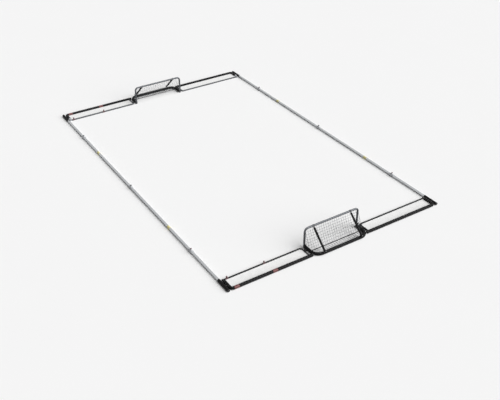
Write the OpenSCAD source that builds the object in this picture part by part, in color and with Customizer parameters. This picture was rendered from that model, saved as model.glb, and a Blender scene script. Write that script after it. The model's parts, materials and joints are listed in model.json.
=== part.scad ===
// Kerb-framed ball court: two side rails, four netted end panels and two folding goals.
// Origin: centre of the court on the ground. +X to the right rail, +Y to the far goal, +Z up.
// Parts are drawn for the near end and the left side, and are mirrored to the others.

/* [Court] */
// Distance between the axes of the two side rails
court_w = 4000; // [3600:10:4400]
// Distance between the axes of the two outer end tubes
court_l = 6330; // [6000:10:7000]
// Outer diameter of the black frame tube, which lies on the ground
frame_od = 50; // [46:1:54]
// Wall of the black frame tube
frame_wall = 2; // [1.5:0.1:3]

/* [Side rails] */
// Outer diameter of a rail tube
rail_od = 38; // [34:1:40]
// Wall of a rail tube
rail_wall = 1.5; // [1.2:0.1:2.5]
// Gap between the ends of two rail tubes that meet in a coupler
rail_end_gap = 1; // [0.5:0.1:3]
// Distance of the near and far couplers from the middle of the court
coupler_at = 2100; // [1700:10:2400]
// Length of a coupler
coupler_len = 90; // [80:1:110]
// How far the rail joint lies from the middle of its coupler
rail_joint_shift = 22; // [14:1:30]
// Distance of the yellow bands from the middle of the court
band_at = 1390; // [600:10:1600]
// Length of a yellow band
band_len = 75; // [30:1:120]
// Thickness of a yellow band
band_t = 0.8; // [0.4:0.1:1.5]

/* [Corner sleeves] */
// Outer diameter of a corner sleeve
sleeve_od = 43; // [41:0.5:46]
// How far a sleeve and its cap reach out past the axis of the outer end tube
sleeve_reach = 20; // [0:1:60]
// How far a sleeve reaches in from the axis of the outer end tube
sleeve_inset = 262; // [230:1:300]
// How far a rail tube goes into its corner sleeve
rail_insert = 120; // [80:1:125]
// Thickness of the rim of a sleeve's cap
sleeve_cap_t = 5; // [3:0.5:8]
// Depth of a cap's plug inside its tube
cap_plug_depth = 15; // [10:1:20]
// Gap between a corner sleeve and the panel arm beside it
sleeve_gap = 7.5; // [1:0.5:10]

/* [End panels] */
// Distance from the axis of the outer tube to the axis of the thin inner bar
panel_depth = 236; // [210:1:280]
// Distance from the middle of the goal to the capped end of an outer tube
panel_end_at = 528; // [526:1:536]
// Distance from the middle of the goal to the thin bar's arm
bar_arm_at = 572; // [564:1:600]
// Bend radius of the panel tube at the rail-side corner
panel_bend_r = 42; // [34:1:44]
// Outer diameter of the thin inner bar
bar_od = 24; // [20:1:24]
// Wall of the thin inner bar
bar_wall = 1.5; // [1:0.1:2]
// Height of the axis of the thin inner bar
bar_z = 14.5; // [14.4:0.1:16]
// Bend radius of the thin bar at its goal-side corner
bar_bend_r = 26; // [20:1:40]
// Distance from the end of a panel arm to the axis of the thin bar
fitting_reach = 45; // [26:1:60]
// Outer diameter of the fitting's neck, which holds the thin bar
fitting_neck_d = 28; // [27:0.1:28.4]
// Thickness of the fitting's rim on the end of the arm
fitting_rim = 3; // [2:0.5:6]
// Depth of the fitting's plug inside the panel arm
fitting_plug = 20; // [12:1:22]
// How far the bar goes past the axis of the arm, inside the fitting
bar_seat = 6; // [3:0.5:6]
// Thickness of the fine net of a panel
panel_net_t = 1.6; // [1:0.1:3]
// Clear space round the edge of a fine net
net_gap = 0.3; // [0.2:0.1:0.6]

/* [Red sleeves] */
// Length of a red sleeve on the outer tube
red_sleeve_len = 82; // [60:1:86]
// Depth of the seat that a red sleeve lies in
red_sleeve_t = 1; // [0.6:0.1:1.2]
// Distance of the first red sleeve from the rail-side arm
red_sleeve_first = 86; // [85:1:160]
// Distance of the second red sleeve from the rail-side arm
red_sleeve_second = 740; // [500:5:1100]

/* [Bar clamps] */
// Length of a clamp on the thin bar
clamp_len = 40; // [30:1:50]
// Distance of the first clamp from the rail-side arm
clamp_first = 64; // [60:1:90]
// Distance of the second clamp from the rail-side arm
clamp_second = 704; // [400:5:1000]

/* [Knob plungers] */
// Diameter of a plunger pin
pin_d = 5; // [4:0.5:6]
// How far the pin reaches into the tube that it locks
pin_reach = 2.5; // [2:0.1:3]
// Diameter of the collar that the spring pushes on
collar_d = 11; // [9:0.5:12]
// Thickness of the collar
collar_t = 1.5; // [1:0.1:2]
// Outer diameter of the housing boss
boss_od = 22; // [20:0.5:24]
// Diameter of the spring chamber in the boss
chamber_d = 14; // [12.5:0.5:16]
// Height of the spring chamber
chamber_h = 9.5; // [9:0.5:14]
// Thickness of the housing between tube and spring chamber
chamber_floor_t = 2.4; // [1.8:0.1:4]
// Height of the bushing inside the boss
bushing_h = 4; // [3:0.5:6]
// Thickness of the rim of the bushing on top of the boss
bushing_rim_t = 1.5; // [1:0.1:3]
// Diameter of a knob
knob_d = 26; // [20:1:34]
// Height of a knob
knob_h = 13; // [10:1:20]
// Radius of a knob's round edges
knob_round = 3; // [1:0.1:3.4]
// Diameter of a knob's neck
knob_neck_d = 16; // [12:0.5:18]
// Inner diameter of a plunger spring
spring_id = 7.5; // [6.5:0.1:8.5]

/* [Goals] */
// Distance from the middle of the goal to the axis of a post
post_at = 510; // [500:1:512]
// Outer diameter of the hoop tube
hoop_od = 32; // [26:1:32]
// Wall of the hoop tube
hoop_wall = 1.5; // [1:0.1:2]
// Height of the crossbar's axis above the ground
crossbar_z = 348; // [320:1:350]
// Bend radius of the hoop at its top corners
hoop_bend_r = 60; // [45:1:80]
// Distance from the middle of the goal to the axis of a base arm
base_arm_at = 502; // [500:1:504]
// Outer diameter of the base tube, which lies on the ground
base_od = 50; // [44:1:51]
// Wall of the base tube
base_wall = 2; // [1.5:0.1:3]
// Distance from the mouth of the goal to the axis of the base's rear tube
goal_depth = 288; // [286:1:330]
// Bend radius of the base tube at its rear corners
base_bend_r = 130; // [100:1:134]
// Distance from the axis of the outer end tube to the mouth of the goal
mouth_inset = 240; // [236:1:250]
// Distance from the mouth back to the capped end of a base arm
base_back = 18; // [17:1:24]
// Thickness of the rim of the cap on a base arm
base_cap_t = 4; // [2:0.5:6]
// Height of the hinge pins of the hoop
hoop_pivot_z = 68; // [68:1:74]
// Diameter of the hinge pins of the hoop
hoop_pin_d = 8; // [6:1:10]
// Thickness of the ears that carry the hoop
hoop_ear_t = 6; // [4:0.5:8]
// Height of those ears at the pins
hoop_ear_h = 24; // [18:1:24]
// Width of their webs on the base arms
hoop_web_w = 20; // [14:1:30]
// Height of the hoop's feet above the ground
hoop_foot_z = 5; // [4:0.5:12]

/* [Struts] */
// Distance from the middle of the goal to a strut
strut_at = 355; // [250:1:380]
// Outer diameter of a strut
strut_od = 34; // [26:1:34]
// Wall of a strut
strut_wall = 1.5; // [1:0.1:3]
// Distance of a strut's pin behind the axis of the rear tube
strut_pivot_back = 26; // [26:0.5:34]
// Height of a strut's pin
strut_pivot_z = 60; // [60:0.5:64]
// Diameter of a strut's pin
strut_pin_d = 6; // [5:0.5:8]
// Thickness of the ears that carry a strut
strut_ear_t = 5; // [4:0.5:7]
// Width of the clip that holds the crossbar, along the crossbar
clip_w = 18; // [12:1:18]
// Thickness of the clip's neck between hook and plug
clip_neck = 18; // [12:1:18]
// Thickness of the clip's hook
clip_t = 4; // [3:0.5:6]
// Depth of the clip's plug inside the strut
clip_plug = 30; // [20:1:45]

/* [Goal net] */
// Distance between the net's cords
net_mesh = 42; // [38:1:60]
// Thickness of the net's cords
net_cord = 3; // [1.5:0.1:4]
// Distance of the net rod behind the mouth
net_rod_back = 152; // [120:1:160]
// Diameter of the net rod
net_rod_d = 10; // [6:0.5:12]

/* [Links] */
// Diameter of the link bolts
link_bolt_d = 8; // [6:1:8]
// Diameter of a link bolt's head
link_head_d = 14; // [12:0.5:16]
// Height of a link bolt's head
link_head_h = 5; // [3:0.5:6]
// Distance of the corner link behind the axis of the thin bar
corner_link_at = 151; // [135:1:165]
// Distance of the goal link behind the mouth
goal_link_at = 82; // [64:1:110]
// Length of a corner spacer along the tubes
corner_spacer_len = 24; // [16:1:40]
// Length of a goal spacer along the tubes
goal_spacer_len = 40; // [16:1:40]
// Height of a corner spacer
corner_spacer_h = 26; // [16:1:30]
// Height of a goal spacer
goal_spacer_h = 18; // [12:1:20]

/* [Fits] */
// Clearance on the radius of a sleeve over its tube
slip = 0.05; // [0.02:0.01:0.2]
// Clearance on the radius of a turning or sliding pin
run = 0.05; // [0.02:0.01:0.1]
// Clearance at each side of a hinge ear in its fork
fork_gap = 0.3; // [0.2:0.1:0.6]
// Clearance of the strut's clip round the crossbar
clip_gap = 0.4; // [0.2:0.1:0.8]

/* [Hidden] */
$fn = 48;
over = 1;                       // how far a cutter runs past the face it cuts
axis_z = frame_od / 2;          // height of the frame tubes and of the rails
rail_x = court_w / 2;
outer_y = court_l / 2;
bar_y = outer_y - panel_depth;
mouth_y = outer_y - mouth_inset;
arm_x = rail_x - sleeve_od / 2 - sleeve_gap - frame_od / 2;
arm_end_y = bar_y + fitting_reach;
sleeve_in_y = outer_y - sleeve_inset;
sleeve_out_y = outer_y + sleeve_reach - sleeve_cap_t;
rail_end_y = sleeve_in_y + rail_insert;
sleeve_bore_r = rail_od / 2 + slip;
clamp_r = bar_z;                // the clamps rest on the ground
base_z = base_od / 2;

// Heights of a knob plunger, counted from the top of the tube that it locks
chamber_z = slip + chamber_floor_t;
bushing_z = chamber_z + chamber_h;
boss_z = bushing_z + bushing_h;
collar_lift = 0.3;
knob_gap = 0.5;
knob_z = boss_z + bushing_rim_t + knob_gap;
pin_hole_d = pin_d + 1;         // the hole in the locked tube

// The goal in its own side view: mouth at 0, rear at minus y, ground at z 0
crossbar = [0, crossbar_z];
hoop_pivot = [0, hoop_pivot_z];
strut_pivot = [-goal_depth - strut_pivot_back, strut_pivot_z];
strut_run = crossbar - strut_pivot;
strut_len = norm(strut_run);
strut_lean = atan2(strut_run.y, strut_run.x);
strut_fold = 180 - strut_lean;  // from the crossbar to level behind the goal
hoop_fold = 90;
bolt_grip = 12;                 // how far a link bolt reaches into the tube that it holds
foot_plug = 16;                 // solid length of a tube end above its fork
pin_head_t = 3;                 // thickness of a hinge pin's heads
pin_head_rim = 2;               // how far they reach past the pin
web_front = -base_back - base_cap_t - fork_gap; // front of an ear's web, behind the arm's cap
web_back = web_front - hoop_web_w;
hoop_slot_top = norm([web_back, hoop_ear_h / 2]) + 1;
// Way in which the crossbar leaves the clip when hoop and strut fold together
leave_step = [crossbar_z - hoop_pivot_z, 0] * -hoop_fold
    + [strut_run.y, -strut_run.x] * strut_fold;
leave_angle = atan2(leave_step.y, leave_step.x);
clip_r = hoop_od / 2 + clip_gap;
clip_tip = 2;                   // the hook's two tips stop this many degrees short of the way out
clip_from = leave_angle - 90 - clip_tip;
clip_to = strut_lean + clip_tip;
clip_root = 32;                 // where the strut starts below the crossbar
strut_top = strut_len - clip_root;
strut_ear_w = strut_od - 8;

// The goal net, flat from the crossbar down to the net rod
net_hang = 1;                   // room under the crossbar and beside the base arms
net_room = 0.5;                 // room between the net and the hoop and its ears
net_rise = 2.2;                 // how high above the base arms the net's notches end
net_top = [0, crossbar_z - hoop_od / 2 - net_hang];
net_foot = [-net_rod_back, base_z];
net_run = net_foot - net_top;
net_dir = net_run / norm(net_run);
net_len = norm(net_run) - net_rod_d / 2 - net_gap;
net_lean = atan2(-net_dir.y, -net_dir.x);
net_half = post_at - hoop_ear_t / 2 - net_cord / 2 - net_room;
skirt_from = net_rod_back + net_rod_d / 2 + net_gap;
skirt_to = goal_depth - base_od / 2 - net_gap;
net_rows = floor(net_len / net_mesh);
net_columns = floor(net_half * 2 / net_mesh);
net_row_start = (net_len - net_rows * net_mesh) / 2;
net_low_half = base_arm_at - base_od / 2 - net_gap - net_hang;
net_notch = (net_top.y - base_od - net_rise) / -net_dir.y;
// Inside the hoop's top corners the net stays within the bend
net_corner_x = post_at - hoop_bend_r;
net_corner_r = hoop_bend_r - hoop_od / 2 - net_room;
net_corner_drop = (hoop_od / 2 + net_hang) / -net_dir.x;
net_corner_in = 4;              // how far the net's top edge runs past the start of the bend
net_corner_back = 2;            // how far it then stays back from the bend
net_corner_fall = 3;            // how far it falls from there to the post
side_net_front = hoop_od / 2 + net_room;
side_net_low = base_od + net_gap;
side_net_slope = net_dir.x / net_dir.y;
side_net_clear = net_cord / 2 / -net_dir.y + net_room;
side_net_margin = 1.2;          // margin along the slanting edge for each mm of it elsewhere

knob_spots = [[-1, 1], [-1, 0], [-1, -1], [1, 1], [1, 0], [1, -1]];

// ---- placing ----

// Mirrors a part drawn on the left to the right (side 1) and one drawn near to far (end 1)
module corner(side, end) {
    if (side > 0 && end > 0) mirror([1, 0, 0]) mirror([0, 1, 0]) children();
    if (side > 0 && end <= 0) mirror([1, 0, 0]) children();
    if (side <= 0 && end > 0) mirror([0, 1, 0]) children();
    if (side <= 0 && end <= 0) children();
}

// Repeats a part drawn on the near left at all four corners
module four_corners() {
    for (side = [-1, 1]) for (end = [-1, 1]) corner(side, end) children();
}

// Stands a goal drawn in its own side view at the near end
module at_mouth() {
    translate([0, -mouth_y, 0]) children();
}

// Turns a side-view outline in (y, z) to a plate across x, w wide and centred on x
module plate(w) {
    rotate([90, 0, 90]) linear_extrude(w, center = true) children();
}

// ---- tubes ----

module rod_x(d, from, to, y, z) {
    translate([from, y, z]) rotate([0, 90, 0]) cylinder(d = d, h = to - from);
}

module rod_y(d, x, from, to, z) {
    translate([x, from, z]) rotate([-90, 0, 0]) cylinder(d = d, h = to - from);
}

// Quarter bend or less, round the origin in the plane z = 0, from angle start over angle turn
module bend_rod(d, bend, start, turn) {
    rotate([0, 0, start]) rotate_extrude(angle = turn) translate([bend, 0]) circle(d = d);
}

// Solid bent rod in the plane z = 0: arms at x = from and to, open at y = tip, closed at y = base
module bent_rod(d, from, to, tip, base, bend) {
    rod_y(d, from, base + bend, tip, 0);
    rod_y(d, to, base + bend, tip, 0);
    rod_x(d, from + bend, to - bend, base, 0);
    translate([from + bend, base + bend, 0]) bend_rod(d, bend, 180, 90);
    translate([to - bend, base + bend, 0]) bend_rod(d, bend, 270, 90);
}

// ---- knob plungers: drawn at the origin, z counted from the top of the locked tube ----

module plunger_cavity(depth) {
    translate([0, 0, -depth]) cylinder(d = pin_d + 2 * run, h = depth + chamber_z + over);
    translate([0, 0, chamber_z]) cylinder(d = chamber_d, h = chamber_h + bushing_h + over);
}

module plunger_bushing() {
    difference() {
        union() {
            translate([0, 0, bushing_z]) cylinder(d = chamber_d - 2 * slip, h = bushing_h + bushing_rim_t);
            translate([0, 0, boss_z]) cylinder(d = boss_od, h = bushing_rim_t);
        }
        translate([0, 0, bushing_z - over])
            cylinder(d = pin_d + 2 * run, h = bushing_h + bushing_rim_t + 2 * over);
    }
}

// The spring fills the ring between the collar and the bushing
module plunger_spring() {
    low = chamber_z + collar_lift + collar_t + slip;
    high = bushing_z - slip;
    difference() {
        translate([0, 0, low]) cylinder(d = collar_d, h = high - low);
        translate([0, 0, low - over]) cylinder(d = spring_id, h = high - low + 2 * over);
    }
}

module plunger_knob() {
    translate([0, 0, -pin_reach]) cylinder(d = pin_d, h = pin_reach + knob_z + over);
    translate([0, 0, chamber_z + collar_lift]) cylinder(d = collar_d, h = collar_t);
    translate([0, 0, knob_z]) rotate_extrude() union() {
        square([knob_neck_d / 2, knob_h]);
        translate([0, knob_h / 4]) square([knob_d / 2 - knob_round, knob_h * 3 / 4]);
        translate([0, knob_h / 4 + knob_round]) square([knob_d / 2, knob_h * 3 / 4 - 2 * knob_round]);
        translate([knob_d / 2 - knob_round, knob_h / 4 + knob_round]) circle(knob_round);
        translate([knob_d / 2 - knob_round, knob_h - knob_round]) circle(knob_round);
    }
}

// ---- where the plungers stand ----

// side -1 left or 1 right; row -1 near, 0 middle or 1 far
module at_coupler(side, row) {
    translate([side * rail_x, row * coupler_at, axis_z + rail_od / 2]) children();
}

// place is the distance from the rail-side arm; end -1 near or 1 far
module at_clamp(place, end) {
    translate([-arm_x + place, end * bar_y, bar_z + bar_od / 2]) children();
}

module at_every_plunger() {
    for (spot = knob_spots) at_coupler(spot[0], spot[1]) children();
    for (place = [clamp_first, clamp_second]) for (end = [-1, 1]) at_clamp(place, end) children();
}

// ---- side rails ----

module rail_tube(side, from, to, holes) {
    color("silver") difference() {
        rod_y(rail_od, side * rail_x, from, to, axis_z);
        rod_y(rail_od - 2 * rail_wall, side * rail_x, from - over, to + over, axis_z);
        for (y = holes) translate([side * rail_x, y, axis_z]) cylinder(d = pin_hole_d, h = rail_od);
    }
}

module rail_near_end(side) {
    rail_tube(side, -rail_end_y, -coupler_at - rail_joint_shift - rail_end_gap / 2, []);
}

module rail_near_middle(side) {
    rail_tube(side, -coupler_at - rail_joint_shift + rail_end_gap / 2,
        rail_joint_shift - rail_end_gap / 2, [-coupler_at, 0]);
}

module rail_far_middle(side) {
    rail_tube(side, rail_joint_shift + rail_end_gap / 2,
        coupler_at + rail_joint_shift - rail_end_gap / 2, [coupler_at]);
}

module rail_far_end(side) {
    rail_tube(side, coupler_at + rail_joint_shift + rail_end_gap / 2, rail_end_y, []);
}

module coupler(side, row) {
    color("silver") translate([side * rail_x, row * coupler_at, axis_z]) difference() {
        union() {
            rod_y(frame_od, 0, -coupler_len / 2, coupler_len / 2, 0);
            cylinder(d = boss_od, h = rail_od / 2 + boss_z);
        }
        rod_y(2 * sleeve_bore_r, 0, -coupler_len / 2 - over, coupler_len / 2 + over, 0);
        translate([0, 0, rail_od / 2]) plunger_cavity(over);
    }
}

module yellow_bands() {
    color("gold") for (side = [-1, 1]) for (end = [-1, 1])
        translate([side * rail_x, end * band_at, axis_z]) difference() {
            rod_y(rail_od + 2 * slip + 2 * band_t, 0, -band_len / 2, band_len / 2, 0);
            rod_y(rail_od + 2 * slip, 0, -band_len / 2 - over, band_len / 2 + over, 0);
        }
}

// ---- corner sleeves and caps ----

module corner_sleeves() {
    color("dimgray") four_corners() difference() {
        rod_y(sleeve_od, -rail_x, -sleeve_out_y, -sleeve_in_y, axis_z);
        rod_y(2 * sleeve_bore_r, -rail_x, -sleeve_out_y - over, -sleeve_in_y + over, axis_z);
        rod_x(link_bolt_d + 2 * run, -rail_x, -arm_x, -bar_y - corner_link_at, axis_z);
    }
}

module tube_end_caps() {
    color("black") four_corners() {
        rod_y(sleeve_od, -rail_x, -sleeve_out_y - sleeve_cap_t, -sleeve_out_y, axis_z);
        rod_y(rail_od, -rail_x, -sleeve_out_y - over, -sleeve_out_y + cap_plug_depth, axis_z);
        rod_x(frame_od, -panel_end_at - sleeve_cap_t, -panel_end_at, -outer_y, axis_z);
        rod_x(frame_od - 2 * frame_wall - 2 * slip, -panel_end_at - sleeve_cap_t - cap_plug_depth,
            -panel_end_at - over, -outer_y, axis_z);
        at_mouth() rod_y(base_od, -base_arm_at, -base_back - base_cap_t, -base_back, base_z);
        at_mouth() rod_y(base_od - 2 * base_wall - 2 * slip, -base_arm_at,
            -base_back - base_cap_t - cap_plug_depth, -base_back - over, base_z);
    }
}

// ---- end panels ----

// The outer tube, from its capped end at the goal, with its arm at the rail side
module panel_rod(d, arm_tip, tube_tip) {
    rod_x(d, -arm_x + panel_bend_r, tube_tip, -outer_y, 0);
    translate([-arm_x + panel_bend_r, -outer_y + panel_bend_r, 0]) bend_rod(d, panel_bend_r, 180, 90);
    rod_y(d, -arm_x, -outer_y + panel_bend_r, arm_tip, 0);
}

module panel_tube(red_seats) {
    tube_tip = -panel_end_at - sleeve_cap_t;
    color("black") difference() {
        translate([0, 0, axis_z]) panel_rod(frame_od, -arm_end_y, tube_tip);
        translate([0, 0, axis_z]) panel_rod(frame_od - 2 * frame_wall, -arm_end_y + over, tube_tip + over);
        rod_x(link_bolt_d + 2 * run, -rail_x, -arm_x + frame_od, -bar_y - corner_link_at, axis_z);
        if (red_seats) for (place = [red_sleeve_first, red_sleeve_second])
            translate([-arm_x + place, -outer_y, axis_z]) rotate([0, 90, 0]) difference() {
                cylinder(d = frame_od + 2 * over, h = red_sleeve_len + 2 * net_gap, center = true);
                cylinder(d = frame_od - 2 * red_sleeve_t, h = red_sleeve_len + 2 * over, center = true);
            }
    }
}

// The thin bar from its fitting to its bend, and its arm back to the axis of the outer tube
module bar_rod(d, tip) {
    rod_x(d, tip, -bar_arm_at - bar_bend_r, -bar_y, 0);
    translate([-bar_arm_at - bar_bend_r, -bar_y - bar_bend_r, 0]) bend_rod(d, bar_bend_r, 0, 90);
    rod_y(d, -bar_arm_at, -outer_y, -bar_y - bar_bend_r, 0);
}

module panel_bar(pin_holes) {
    color("black") difference() {
        translate([0, 0, bar_z]) bar_rod(bar_od, -arm_x - bar_seat);
        translate([0, 0, bar_z]) bar_rod(bar_od - 2 * bar_wall, -arm_x - bar_seat - over);
        rod_x(frame_od + 2 * slip, -bar_arm_at - bar_od, -bar_arm_at + bar_od, -outer_y, axis_z);
        rod_x(link_bolt_d + 2 * run, -bar_arm_at, -base_arm_at, -mouth_y - goal_link_at, bar_z);
        if (pin_holes) for (place = [clamp_first, clamp_second])
            translate([-arm_x + place, -bar_y, bar_z]) cylinder(d = pin_hole_d, h = bar_od);
    }
}

// A flat sheet at the height of the thin bar
module panel_net() {
    drop = axis_z - bar_z - panel_net_t / 2;
    tube_edge = sqrt(pow(frame_od / 2, 2) - pow(drop, 2)) + net_gap;
    low = -outer_y + tube_edge;
    high = -bar_y - clamp_r - net_gap;
    left = -arm_x + tube_edge;
    right = -bar_arm_at - bar_od / 2 - net_gap;
    cut = panel_bend_r - frame_od / 2 + over;
    color("white") translate([0, 0, bar_z]) linear_extrude(panel_net_t, center = true)
        polygon([[left + cut, low], [right, low], [right, high - bar_bend_r], [right - bar_bend_r, high],
            [left, high], [left, low + cut]]);
}

// Each plugs in the end of a panel arm and holds the thin bar
module bar_end_fittings() {
    color("darkgray") four_corners() difference() {
        union() {
            rod_y(frame_od - 2 * frame_wall - 2 * slip, -arm_x, -arm_end_y - fitting_plug,
                -arm_end_y + over, axis_z);
            rod_y(frame_od, -arm_x, -arm_end_y, -arm_end_y + fitting_rim, axis_z);
            rod_y(fitting_neck_d, -arm_x, -arm_end_y, -bar_y + fitting_neck_d / 2, bar_z);
        }
        rod_x(bar_od + 2 * slip, -arm_x - bar_seat - slip, -arm_x + frame_od, -bar_y, bar_z);
    }
}

module red_tube_sleeves() {
    color("red") for (end = [-1, 1]) for (place = [red_sleeve_first, red_sleeve_second])
        translate([-arm_x + place, end * outer_y, axis_z]) rotate([0, 90, 0]) difference() {
            cylinder(d = frame_od, h = red_sleeve_len, center = true);
            cylinder(d = frame_od - 2 * red_sleeve_t + 2 * slip, h = red_sleeve_len + 2 * over,
                center = true);
        }
}

module bar_clamps() {
    color("firebrick") for (place = [clamp_first, clamp_second]) for (end = [-1, 1])
        translate([-arm_x + place, end * bar_y, bar_z]) difference() {
            union() {
                rod_x(2 * clamp_r, -clamp_len / 2, clamp_len / 2, 0, 0);
                cylinder(d = boss_od, h = bar_od / 2 + boss_z);
            }
            rod_x(bar_od + 2 * slip, -clamp_len / 2 - over, clamp_len / 2 + over, 0, 0);
            translate([0, 0, bar_od / 2]) plunger_cavity(over);
        }
}

// ---- links between sleeves, panels and goals ----

// Fills the valley between two parallel tubes, round the bolt at height z
module spacer(x1, r1, z1, x2, r2, z2, y, z, len, h) {
    difference() {
        translate([x1, y - len / 2, z - h / 2]) cube([x2 - x1, len, h]);
        rod_y(2 * r1 + 2 * slip, x1, y - len, y + len, z1);
        rod_y(2 * r2 + 2 * slip, x2, y - len, y + len, z2);
        rod_x(link_bolt_d + 2 * run, x1, x2, y, z);
    }
}

module link_spacers() {
    color("black") four_corners() {
        spacer(-rail_x, sleeve_od / 2, axis_z, -arm_x, frame_od / 2, axis_z,
            -bar_y - corner_link_at, axis_z, corner_spacer_len, corner_spacer_h);
        spacer(-bar_arm_at, bar_od / 2, bar_z, -base_arm_at, base_od / 2, base_z,
            -mouth_y - goal_link_at, bar_z, goal_spacer_len, goal_spacer_h);
    }
}

// A bolt along x, from its end to the flat side of its head
module link_bolt(from, head_at, y, z) {
    rod_x(link_bolt_d, from, head_at + over, y, z);
    rod_x(link_head_d, head_at, head_at + link_head_h, y, z);
}

module link_bolts() {
    color("gray") four_corners() {
        link_bolt(-rail_x + sleeve_od / 2 - bolt_grip, -arm_x + frame_od / 2 + slip,
            -bar_y - corner_link_at, axis_z);
        link_bolt(-bar_arm_at + bar_od / 2 - bolt_grip, -base_arm_at + base_od / 2 + slip,
            -mouth_y - goal_link_at, bar_z);
    }
}

// ---- goals, drawn at the near end ----

// Outline of an ear: a strip from the tube's axis to the pin, with a round head
module ear_outline(from, to, w) {
    run_to = to - from;
    translate(from) rotate(atan2(run_to.y, run_to.x)) translate([0, -w / 2]) square([norm(run_to), w]);
    translate(to) circle(d = w);
}

// The hoop's ear: a web on the base arm and an arm forward into the post
module hoop_ear_outline() {
    translate([web_back, base_z]) square([hoop_web_w, hoop_pivot_z + hoop_ear_h / 2 - base_z]);
    translate([web_back, hoop_pivot_z - hoop_ear_h / 2]) square([-web_back, hoop_ear_h]);
    translate(hoop_pivot) circle(d = hoop_ear_h);
}

module goal_base() {
    rear = [-goal_depth, base_z];
    color("black") at_mouth() difference() {
        union() {
            translate([0, 0, base_z]) bent_rod(base_od, -base_arm_at, base_arm_at,
                -base_back - base_cap_t, -goal_depth, base_bend_r);
            for (side = [-1, 1]) {
                translate([side * post_at, 0, 0]) plate(hoop_ear_t) hoop_ear_outline();
                translate([side * strut_at, 0, 0]) plate(strut_ear_t)
                    ear_outline(rear, strut_pivot, strut_ear_w);
            }
        }
        translate([0, 0, base_z]) bent_rod(base_od - 2 * base_wall, -base_arm_at, base_arm_at,
            -base_back - base_cap_t + over, -goal_depth, base_bend_r);
        rod_x(hoop_pin_d + 2 * run, -post_at - hoop_od, post_at + hoop_od, hoop_pivot.x, hoop_pivot.y);
        rod_x(strut_pin_d + 2 * run, -strut_at - strut_od, strut_at + strut_od,
            strut_pivot.x, strut_pivot.y);
        for (side = [-1, 1])
            rod_x(link_bolt_d + 2 * run, side * base_arm_at - base_od, side * base_arm_at + base_od,
                -goal_link_at, bar_z);
    }
}

module net_rod() {
    reach = base_arm_at - base_od / 2 - net_gap;
    at_mouth() rod_x(net_rod_d, -reach, reach, net_foot.x, net_foot.y);
}

module net_rods() {
    color("dimgray") for (end = [-1, 1]) corner(-1, end) net_rod();
}

// Hinge pin with a head at each end of the fork
module hinge_pin(d, fork_w, x, at) {
    reach = fork_w / 2 + fork_gap;
    head_d = d + 2 * pin_head_rim;
    rod_x(d, x - reach - over, x + reach + over, at.x, at.y);
    rod_x(head_d, x + reach, x + reach + pin_head_t, at.x, at.y);
    rod_x(head_d, x - reach - pin_head_t, x - reach, at.x, at.y);
}

module hinge_pins() {
    color("silver") four_corners() at_mouth() {
        hinge_pin(hoop_pin_d, hoop_od, -post_at, hoop_pivot);
        hinge_pin(strut_pin_d, strut_od, -strut_at, strut_pivot);
    }
}

// Round foot with a slot for its ear: the pin at the origin and the tube going up
module fork_foot(od, ear_t, pin, plug) {
    slot = ear_t + 2 * fork_gap;
    difference() {
        union() {
            cylinder(d = od, h = od / 2 + plug);
            intersection() {
                translate([0, 0, -od / 2]) cylinder(d = od, h = od);
                rod_x(od, -od, od, 0, 0);
            }
        }
        translate([-slot / 2, -od, -od]) cube([slot, 2 * od, od + od / 2]);
        rod_x(pin + 2 * run, -od, od, 0, 0);
    }
}

// Rear slot of a post for its ear: open from the pin up to where the ear's web lies when folded
module hoop_slot() {
    slot = hoop_ear_t + 2 * fork_gap;
    room = hoop_ear_h / 2 + fork_gap;
    translate([-slot / 2, -hoop_od, -room]) cube([slot, hoop_od + room, room + hoop_slot_top]);
}

module goal_hoop() {
    solid_z = hoop_pivot_z + hoop_slot_top + foot_plug / 2;
    color("silver") at_mouth() difference() {
        union() {
            difference() {
                rotate([-90, 0, 0])
                    bent_rod(hoop_od, -post_at, post_at, -solid_z, -crossbar_z, hoop_bend_r);
                rotate([-90, 0, 0])
                    bent_rod(hoop_od - 2 * hoop_wall, -post_at, post_at, -solid_z, -crossbar_z,
                        hoop_bend_r);
            }
            for (side = [-1, 1]) translate([side * post_at, 0, hoop_foot_z])
                cylinder(d = hoop_od, h = solid_z - hoop_foot_z);
        }
        for (side = [-1, 1]) translate([side * post_at, 0, hoop_pivot_z]) hoop_slot();
        rod_x(hoop_pin_d + 2 * run, -post_at - hoop_od, post_at + hoop_od, hoop_pivot.x, hoop_pivot.y);
    }
}

// Straight strip from the crossbar's axis out to one side, low and high of its middle line
module way_out(angle, low, high) {
    rotate(angle) translate([0, -low]) square([3 * clip_r, low + high]);
}

// The hook that lies over the crossbar, in the side view with the crossbar at the origin
module clip_outline() {
    big = 3 * clip_r;
    turn = (clip_to - clip_from) / 4;
    difference() {
        circle(clip_r + clip_t);
        circle(clip_r);
        polygon([[0, 0], for (i = [0:4]) let (a = clip_from + i * turn) big * [cos(a), sin(a)]]);
    }
    difference() {
        rotate(180 + strut_lean) translate([0, -clip_neck / 2]) square([clip_root + over, clip_neck]);
        circle(clip_r);
        way_out(leave_angle, clip_r + 1, 0);
        way_out(strut_lean - 90, 0, clip_r);
    }
}

// The strut's own frame: its pin at the origin and its tube going up
module at_strut() {
    at_mouth() translate([-strut_at, strut_pivot.x, strut_pivot.y]) rotate([strut_lean - 90, 0, 0])
        children();
}

module strut() {
    plug_z = strut_od / 2 + foot_plug;
    color("black") at_strut() {
        fork_foot(strut_od, strut_ear_t, strut_pin_d, foot_plug);
        difference() {
            translate([0, 0, plug_z - over]) cylinder(d = strut_od, h = strut_top - plug_z + over);
            translate([0, 0, plug_z]) cylinder(d = strut_od - 2 * strut_wall, h = strut_len);
        }
    }
}

module strut_clip() {
    color("silver") {
        at_strut() translate([0, 0, strut_top - clip_plug])
            cylinder(d = strut_od - 2 * strut_wall - 2 * slip, h = clip_plug + over);
        at_mouth() translate([-strut_at, crossbar.x, crossbar.y]) plate(clip_w) clip_outline();
    }
}

// ---- goal net ----

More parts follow.
